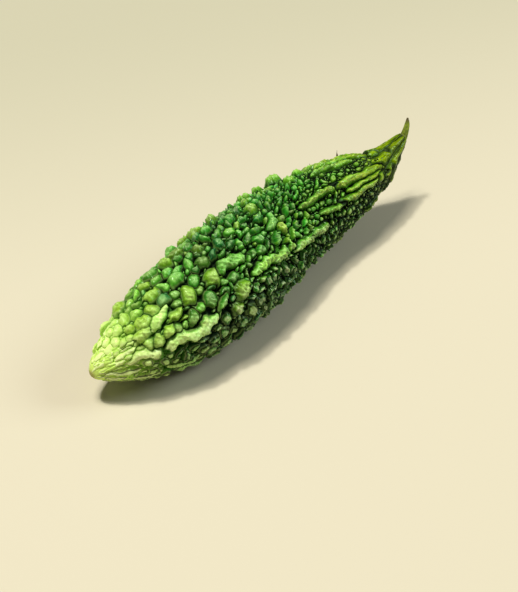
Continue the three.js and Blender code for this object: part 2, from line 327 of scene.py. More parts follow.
def ruled_stretches(given):
    draw = Draw(41)
    lumps = [{"s": s, "angle": angle, "reach": 0} for s, angle, *_ in on_fruit(LUMPS)]
    made = []
    for k in range(RIBS):
        home = RIB_PHASE + 2 * math.pi * k / RIBS
        end = NECK_FROM * LENGTH if k % 2 else LENGTH - 1
        s = between(RIB_STARTS, draw())
        while s < end - RIB_SHORTEST:
            broken = middleness(s / LENGTH)
            usual = between((RIB_PIECE["ends"], RIB_PIECE["middle"]), broken)
            long = min(usual * between(RIB_PIECE_VARIES, draw()), end - s)
            middle = s + long / 2
            wave = RIB_SWAY * math.sin(RIB_WAVE["length"] * middle / LENGTH + RIB_WAVE["rib"] * k)
            sway = wave + broken * RIB_STRAY * between((-1, 1), draw())
            room = 2 * math.pi * float(skin_radius(np.array([middle]))[0]) / RIBS
            half = min(RIB_WIDEST, RIB_SHARE * room) * between(RIB_HALF_VARIES, broken * draw())
            draw()  # the solid varies its ribs' height by this one
            slant = RIB_SLANT * between((-1, 1), draw())
            crowded = any(
                abs(rib["s"] - middle) < rib["reach"] + long / 2
                and abs(turn(rib["angle"] - home)) < RIB_ROOM
                for rib in given + lumps
            )
            if draw() > RIB_GAPS * broken and not crowded:
                reach = max(0, long / 2 - half)
                made.append({
                    "s": middle,
                    "angle": home + sway,
                    "half": half,
                    "reach": reach,
                    "slant": slant,
                    "pale": between(PALE, float(smoothstep(middle / LENGTH, *PALE_FROM))),
                })
            s += long
    return made


stretches = given_stretches()
stretches += ruled_stretches(stretches)


# Where the fruit draws in, thin ridges run to its blossom tip and broad ones to its stalk
TIP_RIDGES = 40
TIP_RIDGES_LIE = (2, 17)  # millimetres from the blossom tip to a ridge's middle
TIP_RIDGE_HALF = (0.45, 0.75)  # half width at the tip
TIP_RIDGE_WIDENS = 0.03  # per millimetre
TIP_RIDGE_REACH = (1.5, 4)
TIP_RIDGE_SLANT = 0.02
TIP_RIDGE_TALLER = 1.15
NECK_RIDGES = 7
NECK_RIDGES_FROM = 0.885
NECK_RIDGE_HALF = 2.9
NECK_RIDGE_STAGGER = 2  # millimetres that their middles stand off along the neck
NECK_RIDGE_TALLER = 2.0


def tip_ridges():
    rng = np.random.default_rng(3)
    made = []
    for _ in range(TIP_RIDGES):
        s = rng.uniform(*TIP_RIDGES_LIE)
        half = rng.uniform(*TIP_RIDGE_HALF) + TIP_RIDGE_WIDENS * s
        made.append({
            "s": s,
            "angle": rng.uniform(0, 2 * math.pi),
            "half": half,
            "reach": rng.uniform(*TIP_RIDGE_REACH),
            "slant": rng.uniform(-TIP_RIDGE_SLANT, TIP_RIDGE_SLANT),
            "pale": 1.0,
        })
    return made


def neck_ridges():
    start, end = NECK_RIDGES_FROM * LENGTH, LENGTH
    return [
        {
            "s": (start + end) / 2 + NECK_RIDGE_STAGGER * math.sin(3 * k),
            "angle": 2 * math.pi * (k + 0.25) / NECK_RIDGES,
            "half": NECK_RIDGE_HALF,
            "reach": (end - start) / 2,
            "slant": 0.0,
            "pale": 1.0,
        }
        for k in range(NECK_RIDGES)
    ]


# Round warts

SIZES = [1.4, 1.15, 0.98, 0.8, 0.62, 0.48, 0.36]  # shares of the usual half width, biggest first
TRIES = [260, 1500, 4000, 6000, 10000, 14000, 16000]
WARTS_FROM = 0.02
WARTS_TO = 0.9
WART_HALF_VARIES = (0.92, 1.08)
WART_HEIGHT_VARIES = (0.75, 1.2)
THICK = 18  # radius of the skin, under which fewer warts are tried
SMALL = 0.6  # size, under which most are left out over the blossom half
SMALL_LEFT = (0.25, 1)  # share of them that is kept there and beyond
SMALL_FROM = (0.25, 0.45)  # shares of the length between which that changes
CLOSENESS = 0.9  # of touching, at which two warts may stand
MOST_WARTS = 9000
ON_RIB = 0.85  # share of a rib's half width that keeps warts off
CREST_STEP = 0.6  # spacing of points along a rib's crest, as a share of its half width
LUMP_TINT = 0.066  # they are yellower and brighter than most warts


def placed_warts():
    """Each wart's s, angle, half width, height, and a number from 0 to 1 for its colour."""
    rng = np.random.default_rng(5)
    crest_s, crest_angle, crest_half = [], [], []
    for rib in stretches:
        spacing = max(0.7, rib["half"] * CREST_STEP)
        for step in np.arange(-rib["reach"], rib["reach"] + 0.1, spacing):
            crest_s.append(rib["s"] + step)
            crest_angle.append(rib["angle"] + rib["slant"] * step)
            crest_half.append(rib["half"] * ON_RIB)
    most = len(crest_s) + len(LUMPS) + MOST_WARTS
    points = np.zeros((most, 3))
    halves = np.zeros(most)
    count = len(crest_s)
    points[:count] = axes_at(np.array(crest_s), np.array(crest_angle))[0]
    halves[:count] = crest_half
    for s, angle, half in on_fruit(RIPE):
        points[count] = axes_at(np.array([s]), np.array([angle]))[0][0]
        halves[count] = half
        count += 1
    made = []
    for s, angle, half, tall in on_fruit(LUMPS):
        points[count] = axes_at(np.array([s]), np.array([angle]))[0][0]
        halves[count] = half
        count += 1
        made.append((s, angle, half, tall * at(RELIEF, s / LENGTH), LUMP_TINT))
    for size, tries in zip(SIZES, TRIES):
        t = rng.uniform(WARTS_FROM, WARTS_TO, tries)
        # fewer tries fall where the fruit is thin, and few small ones over its blossom half
        s = t * LENGTH
        radius = skin_radius(s)
        keep = rng.random(tries) < radius / THICK
        if size < SMALL:
            keep &= rng.random(tries) < between(SMALL_LEFT, smoothstep(t, *SMALL_FROM))
        t, s, radius = t[keep], s[keep], radius[keep]
        angle = rng.uniform(0, 2 * math.pi, len(t))
        half = size * along(WART, t) * rng.uniform(*WART_HALF_VARIES, len(t))
        # a wart half as wide is more than half as tall
        height = along(RELIEF, t) * rng.uniform(*WART_HEIGHT_VARIES, len(t)) * size**0.6
        height *= 1 - WARTS_LOWER * smoothstep(t, *LOWER_FROM)
        tint = rng.random(len(t))
        place = axes_at(s, angle)[0]
        for i in range(len(t)):
            gap = points[:count] - place[i]
            if np.any((gap**2).sum(1) < (CLOSENESS * (halves[:count] + half[i])) ** 2):
                continue
            points[count] = place[i]
            halves[count] = half[i]
            count += 1
            made.append((s[i], angle[i], half[i], height[i], tint[i]))
    return np.array(made)


# The skin is a fine grid of points along and round the fruit

ROWS = 680
COLUMNS = 540
BANDS = 5  # pieces that it is cut in, along its length
ROW_CROWDING = 1.1  # rows stand closer at the blossom tip
FIRST_ROW = 0.03  # millimetres from the blossom tip
NECK_END = LENGTH - 0.6

SWELL = 1.1  # how far a wart's foot spreads past its half width, into its neighbours
CREASE = 0.9  # how deep the crease between two warts is, as a share of their height there
CREASE_WIDTH = 0.85
BULGE = 0.2  # how far a wart's sides lean out over its foot, as a share of its half width
CRESTED = 0.5  # share of the warts that come to a crest, over the middle of the fruit
CRESTED_UNDER = 2.6  # half width
FOLD = 3.0  # the folds' wavelength in millimetres
FOLD_DEPTH = 0.15  # as a share of the wart's height
FOLD_WIDTH = 0.42  # of the field that they follow, either side of 0

# Outlines of warts are uneven by waves of these lengths, by shares of the usual half width
UNEVEN_OUTLINE = {5: 0.24, 2.4: 0.1}

# The surface is uneven by waves of these lengths: the first by a share of the wart's height,
# the second by a share of the usual half width, the third by millimetres
KNOBS, KNOB_HEIGHT = 1.7, 0.07
SWELLS, SWELL_HEIGHT = 9, 0.13
GRIT, GRIT_HEIGHT = 1.1, 0.07

# The tallest warts are held down to about these, the fruit's own height and half its width
TALLEST = 45.2
WIDEST = 24.0
PAST_IT = 0.4  # share that is left of what goes beyond them
LOWEST = 0.02


def emerald_at(s, angle):
    """How far a wart at a place takes on the colour of an emerald patch, from 0 to 1."""
    found = 0.0
    for share, degrees, reach in EMERALD:
        across = turn(angle - math.radians(degrees)) * float(skin_radius(np.array([s]))[0])
        distance = math.hypot(s - share * LENGTH, across) / reach
        found = max(found, 1 - float(smoothstep(distance, 0.5, 1.0)))
    return found


def held_down(value, most):
    return np.where(value > most, most + PAST_IT * (value - most), value)


def ripple(points, wavelength, seed, waves=14):
    """A smooth uneven field, mostly between -1 and 1, made of waves that cross in space."""
    rng = np.random.default_rng(seed)
    field = np.zeros(points.shape[:-1])
    for _ in range(waves):
        way = unit(rng.normal(size=3))
        rate = 2 * math.pi / (wavelength * rng.uniform(0.7, 1.4))
        field += np.sin(points @ way * rate + rng.uniform(0, 2 * math.pi))
    return field / math.sqrt(2 * waves)


# What each point of the grid takes from the wart or rib that it belongs to
FIELDS = ["height", "half", "tint", "rib", "ripe", "emerald", "out_along", "out_round"]


class Skin:
    """The grid, and for each of its points the wart or rib that has the best claim to it."""

    def __init__(self):
        self.rows = FIRST_ROW + (NECK_END - FIRST_ROW) * np.linspace(0, 1, ROWS) ** ROW_CROWDING
        self.turns = np.linspace(0, 2 * math.pi, COLUMNS, endpoint=False)
        self.s, self.angle = np.meshgrid(self.rows, self.turns, indexing="ij")
        self.point, self.normal, self.lengthways, _ = axes_at(self.s, self.angle)
        self.around = np.cross(self.lengthways, self.normal)
        self.radius = skin_radius(self.s)
        self.share = self.s / LENGTH
        # outlines are uneven, because the places that they are measured from are shifted a little
        self.shift_along = self.shift(21)
        self.shift_round = self.shift(23)
        self.lumpy = ripple(self.point, 4.5, 25)
        self.best, self.second = np.zeros_like(self.s), np.zeros_like(self.s)
        self.fields = {key: np.zeros_like(self.s) for key in FIELDS}
        self.beside = np.zeros_like(self.s)

    def shift(self, seed):
        waves = [
            share * ripple(self.point, wavelength, seed + i)
            for i, (wavelength, share) in enumerate(UNEVEN_OUTLINE.items())
        ]
        return along(WART, self.share) * sum(waves)

    def window(self, s, angle, reach_along, reach_round):
        """The block of the grid round a place, with the offsets of its points from the place."""
        first, last = np.searchsorted(self.rows, (s - reach_along, s + reach_along))
        first, last = min(first, ROWS - 1), max(last, first + 1)
        thinnest = max(1.0, self.radius[first:last, 0].min())
        columns = min(COLUMNS // 2 - 1, int(reach_round / thinnest / (2 * math.pi) * COLUMNS) + 2)
        middle = int(round(angle / (2 * math.pi) * COLUMNS))
        block = np.ix_(range(first, last), np.arange(middle - columns, middle + columns + 1) % COLUMNS)
        away = self.angle[block] - angle
        away -= 2 * math.pi * np.round(away / (2 * math.pi))
        return block, self.s[block] - s, away

    def claim(self, block, claim, values):
        """Where the claim beats those before it, the point takes this wart's or rib's values."""
        best = self.best[block]
        wins = claim > best
        self.second[block] = np.where(wins, best, np.maximum(self.second[block], claim))
        self.best[block] = np.where(wins, claim, best)
        for key, field in self.fields.items():
            field[block] = np.where(wins, values.get(key, 0), field[block])

    def add_wart(self, s, angle, half, height, tint, longer, spin, ripe=0, blunt=2.0):
        """One wart; longer is its length in widths, and below 2 its blunt crown is a crest."""
        wide = half * SWELL * longer + 1
        block, step, away = self.window(s, angle, wide, wide)
        x = step + self.shift_along[block]
        y = away * self.radius[block] + self.shift_round[block]
        cos, sin = math.cos(spin), math.sin(spin)
        u = (x * cos + y * sin) / (half * SWELL * longer)
        v = (y * cos - x * sin) / (half * SWELL / longer**0.6)
        distance = np.hypot(x, y) + 1e-6
        values = {
            "height": height,
            "half": half,
            "tint": tint,
            "ripe": ripe,
            "emerald": emerald_at(s, angle),
            "out_along": x / distance,
            "out_round": y / distance,
        }
        self.claim(block, 1 - u**2 - np.abs(v) ** blunt, values)

    def add_rib(self, rib, taller, number):
        reach, half = rib["reach"], rib["half"]
        wide = half * 2.6 + abs(rib["slant"]) * reach * 20
        block, step, away = self.window(rib["s"], rib["angle"], reach + wide, wide)
        radius = self.radius[block]
        x = step + self.shift_along[block]
        near = np.clip(x, -reach, reach)
        # its crest wanders, and it narrows and sinks towards its ends
        knobbly = 1 - float(smoothstep(rib["s"] / LENGTH, 0.45, 0.62))
        wander = (0.15 + 0.15 * knobbly) * half * np.sin(0.45 * near + 1.7 * number)
        y = (away - rib["slant"] * near) * radius - wander + 0.8 * self.shift_round[block]
        far = np.abs(near) / max(reach, 1e-6)
        room = np.minimum(1, radius / 6)
        knobs = self.lumpy[block]
        narrow = half * (1 - 0.4 * far**6) * (1 + (0.15 + 0.15 * knobbly) * knobs) * room
        distance = np.hypot(x - near, y)
        usual = along(RELIEF, self.share[block])
        height = (taller - 0.3 * knobbly) * usual * (1 - 0.35 * far**5) * (1 + 0.12 * knobs)
        # ribs are flat on top over the blossom half, but for its tip, and the others are crested
        blunt = 1.5 + 1.1 * knobbly * float(smoothstep(rib["s"] / LENGTH, 0.08, 0.2))
        values = {
            "height": height,
            "half": narrow,
            "tint": 0.3 + 0.45 * ((number * 0.618) % 1),
            "rib": rib["pale"] * np.clip(1.3 - (1.2 - 0.3 * knobbly) * distance / narrow, 0.2, 1),
            "out_round": 0.5 * np.clip(y / narrow, -1, 1),
        }
        self.claim(block, 1 - (distance / (narrow * SWELL)) ** blunt, values)
        # the warts beside a rib are paler too
        beside = rib["pale"] * (1 - smoothstep(distance / half, 0.6, 2.4))
        self.beside[block] = np.maximum(self.beside[block], beside)

    def raised(self):
        """The grid's points raised into warts and ribs, and how far each is from a crease."""
        inside = np.clip(self.best, 0, 1)
        apart = np.clip((self.best - self.second) / CREASE_WIDTH, 0, 1)
        apart = np.sqrt(1 - (1 - apart) ** 2)
        lone = np.sqrt(1 - (1 - np.clip(inside / 0.5, 0, 1)) ** 2)
        open_skin = np.minimum(apart, lone)
        clear = np.minimum((self.best - self.second) / CREASE_WIDTH, inside / 0.7)
        # creases are shallower at the blossom tip
        crease = CREASE * (0.25 + 0.75 * smoothstep(self.share, 0.02, 0.26))
        tall = self.fields["height"]
        sharper = (self.fields["rib"] > 0) * (0.05 + 0.2 * smoothstep(self.share, 0.4, 0.6))
        height = tall * inside ** (0.5 + sharper) * (1 - crease * (1 - apart))
        ends = smoothstep(self.s, 0, 3)
        smooth_neck = 1 - 0.8 * smoothstep(self.share, 0.88, 0.93)
        # the warts of the middle are folded, and the folds come to thin crests
        leafy = smoothstep(self.share, 0.2, 0.42) * (1 - smoothstep(self.share, 0.72, 0.86))
        fold = np.clip(1 - np.abs(ripple(self.point, FOLD, 34)) / FOLD_WIDTH, -0.5, 1) * leafy
        knobs = KNOB_HEIGHT * ripple(self.point, KNOBS, 31)
        swells = SWELL_HEIGHT * along(WART, self.share) * ripple(self.point, SWELLS, 32)
        grit = GRIT_HEIGHT * ripple(self.point, GRIT, 33)
        uneven = (knobs + FOLD_DEPTH * fold) * tall * open_skin + (swells + grit) * smooth_neck
        lean = BULGE * self.fields["half"] * 4 * open_skin * (1 - open_skin) * ends
        verts = self.point + self.normal * ((height + uneven) * ends)[..., None]
        verts += self.lengthways * (lean * self.fields["out_along"])[..., None]
        verts += self.around * (lean * self.fields["out_round"])[..., None]
        verts[..., 1] = np.sign(verts[..., 1]) * held_down(np.abs(verts[..., 1]), WIDEST)
        verts[..., 2] = np.maximum(held_down(verts[..., 2], TALLEST), LOWEST)
        usual = np.maximum(0.2, along(RELIEF, self.share))
        rise = height / usual + 1 - smoothstep(self.share, 0.01, 0.08)
        under = 1 - smoothstep(self.normal[..., 2], 0, 0.7)
        return verts, {"open": np.clip(clear, 0, 1), "rise": rise, "fold": fold, "under": under}


def grid_normals(verts):
    down = np.gradient(verts, axis=0)
    across = np.roll(verts, -1, axis=1) - np.roll(verts, 1, axis=1)
    return unit(np.cross(across, down) + 1e-12)


def new_object(name, verts, faces, attributes, material, normals=None):
    mesh = bpy.data.meshes.new(name)
    mesh.from_pydata((verts * MM).tolist(), [], faces)
    for key, values in attributes.items():
        layer = mesh.attributes.new(key, "FLOAT", "POINT")
        layer.data.foreach_set("value", np.asarray(values, dtype=np.float32))
    mesh.shade_smooth()
    if normals is not None:
        mesh.normals_split_custom_set_from_vertices(normals.tolist())
    mesh.materials.append(material)
    obj = bpy.data.objects.new(name, mesh)
    bpy.context.scene.collection.objects.link(obj)
    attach(obj, "root")
    return obj


def skin_pieces(material):
    """The skin as a few bands that meet edge to edge, with normals worked out across the edges."""
    rng = np.random.default_rng(12)
    skin = Skin()
    for number, rib in enumerate(stretches):
        skin.add_rib(rib, RIB_TALLER, number)
    for number, rib in enumerate(tip_ridges()):
        skin.add_rib(rib, TIP_RIDGE_TALLER, number + 0.5)
    for number, rib in enumerate(neck_ridges()):
        skin.add_rib(rib, NECK_RIDGE_TALLER, number + 0.2)
    for share, degrees, half in RIPE:
        s = share * LENGTH
        skin.add_wart(s, math.radians(degrees), half, 1.5 * at(RELIEF, share), 0.5, 1.3, 1.2, 1)
    warts = placed_warts()
    for s, angle, half, height, tint in warts:
        if rng.random() < CRESTED * middleness(s / LENGTH) and half < CRESTED_UNDER:
            longer, spin = rng.uniform(1.4, 2.1), rng.normal(-0.5, 0.5)
            skin.add_wart(s, angle, half, 1.15 * height, tint, longer, spin, blunt=1.35)
        else:
            skin.add_wart(s, angle, half, height, tint, rng.uniform(1, 1.42), rng.normal(0, 0.6))
    print(len(warts), "warts,", len(stretches), "stretches of rib")
    verts, fields = skin.raised()
    normals = grid_normals(verts)
    for key in ("tint", "rib", "ripe", "emerald"):
        fields[key] = skin.fields[key]
    fields["along"] = skin.share
    fields["beside"] = skin.beside
    edges = np.linspace(0, ROWS - 1, BANDS + 1).round().astype(int)
    for band, (first, last) in enumerate(zip(edges[:-1], edges[1:])):
        chosen = slice(first, last + 1)
        count = last + 1 - first
        points = verts[chosen].reshape(-1, 3)
        turned = normals[chosen].reshape(-1, 3)
        values = {key: field[chosen].ravel() for key, field in fields.items()}
        i, j = np.meshgrid(np.arange(count - 1), np.arange(COLUMNS), indexing="ij")
        k = (j + 1) % COLUMNS
        row, following = i * COLUMNS, (i + 1) * COLUMNS
        quads = np.stack([row + j, row + k, following + k, following + j], -1)
        faces = quads.reshape(-1, 4).tolist()
        caps = []
        if band == 0:
            caps.append((0, 1))
        if band == BANDS - 1:
            caps.append(((count - 1) * COLUMNS, -1))
        for start, way in caps:
            middle = len(points)
            ring = points[start:start + COLUMNS]
            points = np.vstack([points, ring.mean(0)])
            facing = unit(turned[start:start + COLUMNS].mean(0))
            turned = np.vstack([turned, facing])
            values = {key: np.append(value, value[start]) for key, value in values.items()}
            for a in range(COLUMNS):
                b = (a + 1) % COLUMNS
                pair = (start + b, start + a) if way > 0 else (start + a, start + b)
                faces.append((middle, *pair))
        made = new_object(f"gourd_skin_{band + 1}", points, faces, values, material, turned)
        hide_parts("fruit")


# Colours as they read on a screen, 0 to 255

def tone(red, green, blue):
    def linear(value):
        value /= 255
        return value / 12.92 if value <= 0.04045 else ((value + 0.055) / 1.055) ** 2.4

    return (linear(red), linear(green), linear(blue), 1)


# Rows of share of the length, then the colour there
WART_TONES = [
    (0.0, tone(240, 255, 168)),
    (0.06, tone(228, 255, 142)),
    (0.11, tone(194, 246, 92)),
    (0.17, tone(150, 234, 70)),
    (0.26, tone(94, 200, 54)),
    (0.46, tone(60, 178, 44)),
    (0.62, tone(72, 208, 48)),
    (0.82, tone(90, 186, 14)),
    (0.91, tone(108, 146, 2)),
    (1.0, tone(100, 124, 2)),
]
# Rows of share of the length, then the colour in the creases and low skin between the warts: pale skin
# at the blossom tip, and past it near-black painted shade
GAP_SKIN_AND_SHADE_TONES = [
    (0.0, tone(214, 238, 116)),
    (0.07, tone(184, 226, 96)),
    (0.14, tone(54, 116, 16)),
    (0.22, tone(2, 30, 1)),
    (0.65, tone(1, 18, 1)),
    (0.84, tone(2, 20, 1)),
    (0.92, tone(36, 52, 1)),
    (1.0, tone(50, 60, 1)),
]
RIB_TONES = [
    (0.0, tone(238, 255, 164)),
    (0.12, tone(230, 252, 160)),
    (0.24, tone(204, 250, 120)),
    (0.38, tone(160, 232, 56)),
    (0.6, tone(154, 212, 52)),
    (0.78, tone(168, 198, 30)),
    (0.91, tone(144, 174, 2)),
    (1.0, tone(122, 144, 2)),
]
# A thin pale painted highlight round each wart's rim, beside the crease
RIM_HIGHLIGHT_TONES = [
    (0.0, tone(236, 246, 170)),
    (0.2, tone(206, 232, 130)),
    (0.45, tone(120, 200, 76)),
    (0.8, tone(110, 176, 60)),
    (1.0, tone(110, 124, 20)),
]
# A pale painted highlight at the very crown of a wart
CROWN_HIGHLIGHT_TONES = [
    (0.0, tone(240, 255, 180)),
    (0.08, tone(234, 252, 170)),
    (0.16, tone(216, 248, 146)),
    (0.24, tone(216, 238, 164)),
    (0.45, tone(212, 220, 168)),
    (0.8, tone(204, 228, 136)),
    (0.9, tone(146, 174, 8)),
    (1.0, tone(116, 136, 2)),
]
# painted shade: a wart's colour is darkened down its sides to its foot
SIDE_SHADE = (0.02, 0.17, 0.02, 1)  # what a wart's colour is multiplied by at its foot
TEAL = tone(4, 140, 76)
RIPE_TONE = tone(176, 216, 60)
LIME = tone(166, 204, 40)
STALK_LOW = tone(134, 150, 30)
STALK_HIGH = tone(98, 112, 20)
STALK_DRY = tone(82, 70, 32)
SCAR = tone(150, 122, 78)
HAIR = tone(58, 42, 24)
TABLE = tone(205, 195, 167)
# the table's far side, darker by painted shade
TABLE_FAR_SHADE = tone(184, 178, 149)


class Nodes:
    """A material with its shader, and short ways to add nodes to it."""

    def __init__(self, name):
        self.material = bpy.data.materials.new(name)
        self.material.use_nodes = True
        self.tree = self.material.node_tree
        self.shader = self.tree.nodes["Principled BSDF"]

    def join(self, source, target):
        self.tree.links.new(source, target)

    def attribute(self, name):
        node = self.tree.nodes.new("ShaderNodeAttribute")
        node.attribute_name = name
        return node.outputs["Fac"]

    def ramp(self, source, stops):
        node = self.tree.nodes.new("ShaderNodeValToRGB")
        elements = node.color_ramp.elements
        while len(elements) < len(stops):
            elements.new(0.5)
        for element, (place, colour) in zip(elements, stops):
            element.position = place
            element.color = colour
        self.join(source, node.inputs["Fac"])
        return node.outputs["Color"]

    def span(self, source, low, high, first=0.0, last=1.0):
        node = self.tree.nodes.new("ShaderNodeMapRange")
        node.interpolation_type = "SMOOTHSTEP"
        node.inputs["From Min"].default_value = low
        node.inputs["From Max"].default_value = high
        node.inputs["To Min"].default_value = first
        node.inputs["To Max"].default_value = last
        self.join(source, node.inputs["Value"])
        return node.outputs["Result"]

    def maths(self, kind, first, second):
        node = self.tree.nodes.new("ShaderNodeMath")
        node.operation = kind
        for socket, value in zip(node.inputs, (first, second)):
            if isinstance(value, (int, float)):
                socket.default_value = value
            else:
                self.join(value, socket)
        return node.outputs["Value"]

    def mix(self, share, first, second, kind="MIX"):
        node = self.tree.nodes.new("ShaderNodeMix")
        node.data_type = "RGBA"
        node.blend_type = kind
        named = {"Factor_Float": share, "A_Color": first, "B_Color": second}
        for socket in node.inputs:
            value = named.get(socket.identifier)
            if value is None:
                continue
            if isinstance(value, (int, float, tuple)):
                socket.default_value = value
            else:
                self.join(value, socket)
        return next(socket for socket in node.outputs if socket.identifier == "Result_Color")

    def darken(self, colour, share):
        grey = self.tree.nodes.new("ShaderNodeCombineColor")
        for channel in ("Red", "Green", "Blue"):
            self.join(share, grey.inputs[channel])
        return self.mix(1.0, colour, grey.outputs["Color"], "MULTIPLY")

    def noise(self, per_millimetre, detail=2.0, rough=0.5):
        coordinates = self.tree.nodes.new("ShaderNodeTexCoord")
        node = self.tree.nodes.new("ShaderNodeTexNoise")
        node.inputs["Scale"].default_value = per_millimetre / MM
        node.inputs["Detail"].default_value = detail
        node.inputs["Roughness"].default_value = rough
        self.join(coordinates.outputs["Object"], node.inputs["Vector"])
        return node.outputs["Fac"]

    def streaks(self, per_millimetre):
        """Noise that is drawn out along X, the way that the fruit lies."""
        coordinates = self.tree.nodes.new("ShaderNodeTexCoord")
        stretch = self.tree.nodes.new("ShaderNodeVectorMath")
        stretch.operation = "MULTIPLY"
        stretch.inputs[1].default_value = (0.14, 1.0, 1.0)
        self.join(coordinates.outputs["Object"], stretch.inputs[0])
        node = self.tree.nodes.new("ShaderNodeTexNoise")
        node.inputs["Scale"].default_value = per_millimetre / MM
        self.join(stretch.outputs["Vector"], node.inputs["Vector"])
        return node.outputs["Fac"]

    def bump(self, height, millimetres, strength=1.0):
        node = self.tree.nodes.new("ShaderNodeBump")
        node.inputs["Distance"].default_value = millimetres * MM
        node.inputs["Strength"].default_value = strength
        self.join(height, node.inputs["Height"])
        self.join(node.outputs["Normal"], self.shader.inputs["Normal"])


def wart_colour(nodes, length, tint, mottle):
    """Some warts are teal and some lime, most of all over the blossom half, and a few emerald."""
    body = nodes.ramp(length, WART_TONES)
    past_tip = nodes.span(length, 0.04, 0.16)
    teal = nodes.span(tint, 0.84, 0.97, 0, 0.6)
    teal = nodes.maths("MULTIPLY", teal, nodes.span(length, 0.75, 0.2, 0.35, 1))
    body = nodes.mix(nodes.maths("MULTIPLY", teal, past_tip), body, TEAL)
    lime = nodes.span(tint, 0.24, 0.06, 0, 0.7)
    lime = nodes.maths("MULTIPLY", lime, nodes.span(length, 0.9, 0.3, 0.4, 1))
    body = nodes.mix(nodes.maths("MULTIPLY", lime, past_tip), body, LIME)
    emerald = nodes.attribute("emerald")
    emerald = nodes.maths("MULTIPLY", emerald, nodes.span(mottle, 0.3, 0.5, 0.75, 0.95))
    return nodes.mix(emerald, body, TEAL), emerald


def wart_value(nodes, length, tint, rib, grain):
    """No two warts are equally bright, but the ribs and the blossom tip are even."""
    value = nodes.maths("ADD", nodes.maths("MULTIPLY", tint, 7.3), 0.5)
    value = nodes.span(nodes.maths("FRACT", value, 0), 0, 1, 0.5, 1.0)
    value = nodes.maths("MULTIPLY", value, nodes.span(grain, 0.35, 0.6, 0.72, 1.0))
    value = nodes.maths("MAXIMUM", value, nodes.span(rib, 0.2, 0.5))
    return nodes.maths("MAXIMUM", value, nodes.span(length, 0.2, 0.08))


def paleness(nodes, rib, fold):
    """Ribs are pale with green flecks, and so are the folds and the warts beside a rib."""
    flecks = nodes.span(nodes.noise(0.35, 2), 0.62, 0.42, 0.3, 1)
    pale = nodes.maths("MULTIPLY", nodes.span(rib, 0.3, 0.85), flecks)
    beside = nodes.maths("MULTIPLY", nodes.attribute("beside"), 0.45)
    pale = nodes.maths("MAXIMUM", pale, beside)
    return nodes.maths("MAXIMUM", pale, nodes.span(fold, 0.66, 0.96, 0, 0.75))


def crown_highlight_share(nodes, open_skin, under, emerald, grain):
    """How far a wart takes on the pale painted highlight of its crown."""
    crown_highlight = nodes.span(open_skin, 0.62, 1.0)
    crown_highlight = nodes.maths("MULTIPLY", crown_highlight, nodes.span(grain, 0.4, 0.62, 0.5, 1))
    crown_highlight = nodes.maths("MULTIPLY", crown_highlight, nodes.span(under, 0, 1, 0.34, 1.6))
    return nodes.maths("MULTIPLY", crown_highlight, nodes.span(emerald, 0, 1, 1, 0.5))


def streaks_and_fold_shade(nodes, length, rib, fold):
    """Streaks run along the ribs and the neck, and the hollows between folds are darker by painted
    shade.
    """
    streaks = nodes.span(nodes.streaks(1.3), 0.38, 0.58, 0.45, 1.0)
    streaks = nodes.maths("MAXIMUM", streaks, nodes.span(length, 0.62, 0.5))
    streaks = nodes.maths("MAXIMUM", streaks, nodes.span(rib, 0.3, 0.1))
    return nodes.maths("MULTIPLY", streaks, nodes.span(fold, -0.5, 0.1, 0.6, 1.0))


